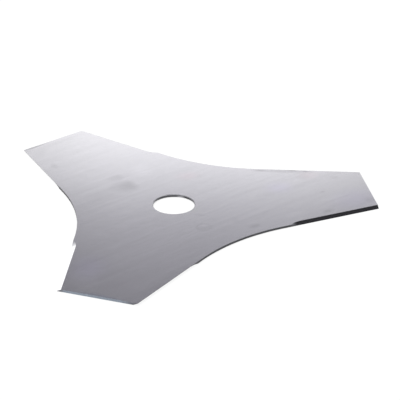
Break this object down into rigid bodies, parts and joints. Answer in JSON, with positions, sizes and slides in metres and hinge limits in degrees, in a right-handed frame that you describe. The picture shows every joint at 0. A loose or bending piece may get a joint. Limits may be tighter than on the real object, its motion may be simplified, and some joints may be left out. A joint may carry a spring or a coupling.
{
  "type": "brush cutter blade",
  "caption": "Flat steel brush cutter blade with square-ended arms, ground flanks, hollow edges between the arms and a plain round arbor hole.",
  "frame": {"origin": "centre of the arbor hole at half the sheet's thickness, which is also the blade's centroid", "axes": "+Z along the arbor hole's axis, square to the flat faces, and +X along one arm towards the middle of its tip"},
  "size_m": [0.2051, 0.237, 0.0014],
  "materials": {
    "steel": "satin cold-rolled sheet with fine rolling lines, ground bright on the bevels"
  },
  "bodies": {
    "root": {"blade": "steel"}
  },
  "joints": []
}
